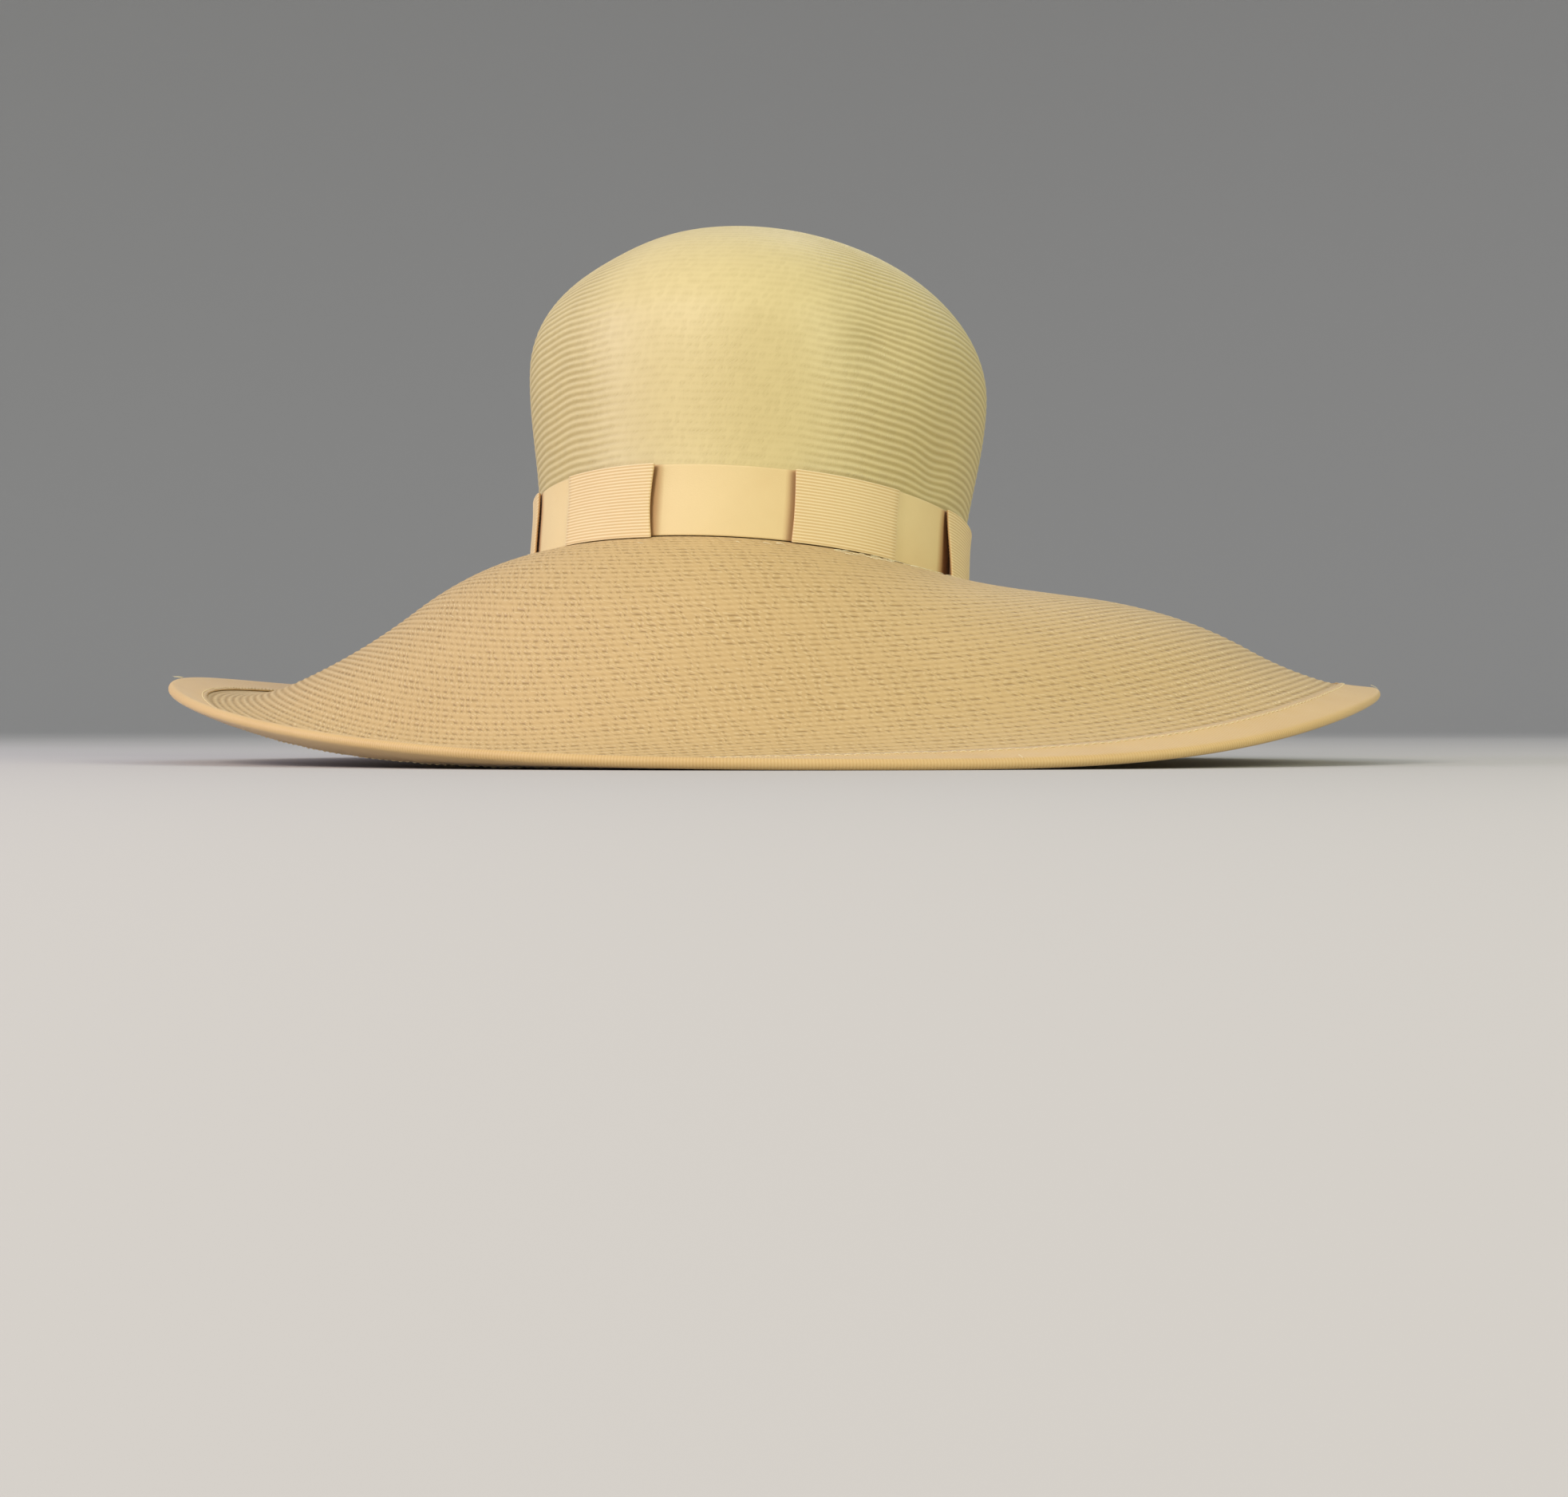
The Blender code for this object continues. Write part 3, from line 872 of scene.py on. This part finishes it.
def makeBand():
    # the ribbon's path carried up the crown: surface + normal (lift + flare (1 - 2 share) + rib)
    form = bandForm
    left = resampled(ribbonPath(form["foldsLeft"], form["bowLeft"]), form["runStep"])
    right = resampled(ribbonPath(form["foldsRight"], form["bowRight"]), form["runStep"])
    right[:, 0] *= -1
    path = np.concatenate([left, right[-2:0:-1]])
    azimuth, lift, flare, ribbed, crease, bow = path.T
    ribs = round(form["height"] / form["ribPitch"])
    v = np.arange(2 * ribs + 1)[::-1, None] / 2
    share = v / ribs
    # the foot follows the brim's top face, which falls away outwards
    foot = brimSurface(azimuth, (hatForm["strawWall"] + lift) / hatForm["brimWidth"])[..., 2]
    foot = foot + form["clearOfBrim"]
    height = foot + (form["height"] - foot) * share
    ribsLeft = form["plainRibs"] + (1 - form["plainRibs"]) * ribbed
    relief = form["ribDepth"] * np.cos(2 * np.pi * v) * ribsLeft
    bowed = azimuth + np.sign(azimuth) * bow * np.sin(np.pi * share)
    face = crownSurface(bowed, height)
    _, normal = headOval(bowed, 0)
    outwards = np.concatenate([normal, np.zeros(normal.shape[:-1] + (1,))], -1)
    grid = face + outwards * (lift + flare * (1 - 2 * share) + relief)[..., None]
    marks = {
        "ribbed": np.broadcast_to(ribbed, grid.shape[:2]),
        # painted shade in the creases by the folds
        "crease": np.broadcast_to(crease, grid.shape[:2]),
    }
    length = np.linalg.norm(np.diff(grid[0], axis=0), axis=1).sum()
    rowUv = (round(length / form["ribPitch"]), 0, v[:-1, 0], v[1:, 0])
    band = gridPiece("pleated_band", laid(grid), rowUv, peachRibbon, marks=marks)
    wall = band.modifiers.new("Ribbon", "SOLIDIFY")
    wall.thickness = form["wall"]
    wall.offset = 0
    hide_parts("hat_band")


makeBand()
print("band ready")

stitchForm = {
    "pitch": 0.0031,
    "length": 0.0023,
    "radius": 0.00019,
    "fromFlapEdge": 0.0019,
    "sides": 6,
    "steps": 5,
    "ringStep": 0.5,          # degrees between the points that measure the row's length
    "rise": 1.4,              # in radii, as is the sinking of a stitch's ends
    "sunk": 0.5,
    "girth": (0.55, 0.45),    # shares of the radius: at a stitch's ends, and added in its middle
}


def makeStitches(name, side):
    # a row of stitches round one flap: each arches out of the ribbon and dips in again at its ends
    form = stitchForm
    along = form["fromFlapEdge"] / bindingForm["width"]
    ringAzimuth = np.arange(0, 360, form["ringStep"])
    ring = brimSurface(ringAzimuth, bindingShare(along))
    step = np.linalg.norm(np.roll(ring, -1, 0) - ring, axis=1)
    length = np.concatenate([[0], np.cumsum(step)])
    count = int(length[-1] / form["pitch"])
    reach = np.linspace(-0.5, 0.5, form["steps"]) * form["length"]
    place = (np.arange(count)[:, None] + 0.5) * length[-1] / count + reach
    azimuth = np.interp(place, length, np.append(ringAzimuth, 360))
    point, _, upward = brimFrame(azimuth, bindingShare(along))
    arch = np.cos(np.linspace(-1, 1, form["steps"]) * np.pi / 2)
    if side > 0:
        lift = bindingLift(azimuth, along)
    else:
        lift = bindingLift(azimuth + bindingForm["underTurn"], along) + hatForm["strawWall"]
    lift = lift + (form["rise"] * arch - form["sunk"]) * form["radius"]
    paths = laid(point + upward * (side * lift)[..., None])
    atEnds, inMiddle = form["girth"]
    radii = np.broadcast_to(form["radius"] * (atEnds + inMiddle * arch), paths.shape[:2])
    upwards = upward @ restTurn.T
    strandPiece(name, paths, radii, upwards, form["sides"], stitchThread)


makeStitches("top_stitching", 1)
makeStitches("under_stitching", -1)

fibreForm = {
    "seed": 7,
    "radius": 0.00011,
    "sides": 4,
    "steps": 6,
    # how many, azimuths from and to, shares of the brim's width from and to, longest
    "patches": (
        (60, 26, 72, 0.045, 0.10, 0.007),
        (8, -60, 20, 0.05, 0.09, 0.004),
        (10, 100, 260, 0.04, 0.09, 0.005),
    ),
    # azimuth and length of single ends at the hat's edge
    "edgeEnds": ((-84, 0.004), (93, 0.003), (-83, 0.003), (30, 0.002)),
    "edgeHeading": (0.8, -0.3, 0.4),      # shares outwards, up and round the hat
    "shortest": 0.35,         # share of the patch's longest
    "turn": 0.9,              # radians either way from the rows' own direction
    "curl": 0.35,             # share of its length that an end bends aside, either way
    "lift": 0.00018,
    "edgeLift": 0.002,
    "arch": 0.0006,
    "taper": 0.5,             # share of the radius lost at the tip
}


def makeLooseFibres():
    # short curved ends lying on the brim: start + direction t + curl t^2, a little above the straw
    form = fibreForm
    chance = np.random.default_rng(form["seed"])
    rows = []
    for count, azimuthFrom, azimuthTo, shareFrom, shareTo, longest in form["patches"]:
        rows.append(np.column_stack([
            chance.uniform(azimuthFrom, azimuthTo, count),
            chance.uniform(shareFrom, shareTo, count),
            chance.uniform(form["shortest"], 1, count) * longest,
        ]))
    rows.append([(azimuth, 1.0, length) for azimuth, length in form["edgeEnds"]])
    azimuth, share, length = np.concatenate(rows).T
    point, outward, upward = brimFrame(azimuth, share)
    around = np.cross(upward, outward)
    heading = chance.uniform(-form["turn"], form["turn"], len(azimuth))[:, None]
    direction = around * np.cos(heading) + outward * np.sin(heading)
    atEdge = (share >= 1)[:, None]
    edgeOut, edgeUp, edgeRound = form["edgeHeading"]
    direction = np.where(atEdge, outward * edgeOut + upward * edgeUp + around * edgeRound, direction)
    t = np.linspace(0, 1, form["steps"])[None, :, None]
    curl = chance.uniform(-form["curl"], form["curl"], len(azimuth))[:, None, None]
    bend = np.cross(upward, direction)
    hop = np.where(atEdge[:, None], form["edgeLift"], form["lift"]) + form["arch"] * t * (1 - t)
    paths = (point[:, None] + (direction[:, None] * t + bend[:, None] * curl * t * t) * length[:, None, None]
             + upward[:, None] * hop)
    radii = np.broadcast_to(form["radius"] * (1 - form["taper"] * t[..., 0]), paths.shape[:2])
    upwards = (upward @ restTurn.T)[:, None]
    strandPiece("loose_fibres", laid(paths), radii, np.broadcast_to(upwards, paths.shape),
                form["sides"], looseFibre)


makeLooseFibres()
print("stitches and fibres ready")

studio = {
    "floorRings": (0.02, 0.3, 0.8, 1.6, 3.0, 5.0),
    "wallBend": 2.5,          # radius of the bend from the floor up into the wall
    "wallSteps": 14,
    "floorColumns": 96,
    "floorColour": "#bcbbb8",
    "floorRoughness": 0.85,
    # name, place, size, watts and colour
    "lights": (
        ("key", (-0.9, -1.6, 1.1), 0.9, 23, "#fff1ea"),
        ("side", (-1.5, -0.35, 0.55), 0.8, 10, "#ece4ff"),
        ("fill", (1.5, -1.0, 0.8), 1.1, 17, "#f8f8dc"),
        ("back", (0.3, 1.6, 1.5), 1.2, 3, "#ffffff"),
    ),
    "litPoint": (0, 0, 0.1),
    "airColour": "#e6e8ec",
    "airStrength": 0.62,
    "cameraAzimuth": 6.0,
    "cameraDistance": 1.10,
    "cameraHeight": 0.014,
    "lens": 65.5,
    "sensor": 36.0,
    "shiftX": 0.014,
    "shiftY": -0.015,
    "aimX": -0.0045,
}


def makeFloor():
    # flat disc that bends up into a wall: out by bend sin a, and up by bend (1 - cos a)
    rings, bend, columns = np.array(studio["floorRings"]), studio["wallBend"], studio["floorColumns"]
    angle = np.linspace(0, np.pi / 2, studio["wallSteps"])[1:]
    radius = np.concatenate([rings, rings[-1] + bend * np.sin(angle)])[:, None]
    height = np.concatenate([np.zeros(len(rings)), bend * (1 - np.cos(angle))])[:, None]
    turn = np.arange(columns) * 2 * np.pi / columns
    x, y = radius * np.sin(turn), -radius * np.cos(turn)
    points = np.stack([x, y, np.broadcast_to(height, x.shape)], -1).reshape(-1, 3)
    quads = ringQuads(len(radius), columns).reshape(-1, 4)
    mesh = bpy.data.meshes.new("studio_floor")
    mesh.from_pydata(points.tolist(), [], quads.tolist() + [list(range(columns))])
    mesh.shade_smooth()
    look = {"Roughness": studio["floorRoughness"], "Base Color": linearColour(studio["floorColour"])}
    material, _, _ = newMaterial("Pale painted floor", look)
    mesh.materials.append(material)
    floor = bpy.data.objects.new("studio_floor", mesh)
    bpy.context.scene.collection.objects.link(floor)


def addLight(name, place, size, watts, colour):
    # a round soft light at place, facing the hat
    light = bpy.data.lights.new(name, "AREA")
    light.shape = "DISK"
    light.size = size
    light.energy = watts
    light.color = linearColour(colour)[:3]
    lamp = bpy.data.objects.new(name, light)
    lamp.location = place
    aim = Vector(studio["litPoint"]) - Vector(place)
    lamp.rotation_euler = aim.to_track_quat("-Z", "Y").to_euler()
    bpy.context.scene.collection.objects.link(lamp)


def makeStudio():
    # soft lights: the main one from the front left, a cool one low at the left, a yellow one at the
    # right and a weak one behind
    makeFloor()
    for light in studio["lights"]:
        addLight(*light)
    world = bpy.data.worlds.new("studio")
    world.use_nodes = True
    background = world.node_tree.nodes["Background"]
    background.inputs["Color"].default_value = linearColour(studio["airColour"])
    background.inputs["Strength"].default_value = studio["airStrength"]
    bpy.context.scene.world = world
    bpy.context.scene.view_settings.view_transform = "Standard"


def makeCamera():
    # level camera just above the floor, looking at the hat from a little to its left
    cameraData = bpy.data.cameras.new("camera")
    cameraData.lens = studio["lens"]
    cameraData.sensor_width = studio["sensor"]
    cameraData.shift_x = studio["shiftX"]
    cameraData.shift_y = studio["shiftY"]
    cameraData.clip_start = 0.01
    camera = bpy.data.objects.new("camera", cameraData)
    angle = np.radians(studio["cameraAzimuth"])
    camera.location = (studio["aimX"] + studio["cameraDistance"] * np.sin(angle),
                       -studio["cameraDistance"] * np.cos(angle), studio["cameraHeight"])
    camera.rotation_euler = (np.pi / 2, 0, angle)
    bpy.context.scene.collection.objects.link(camera)
    bpy.context.scene.camera = camera


makeStudio()
makeCamera()
print("studio ready")
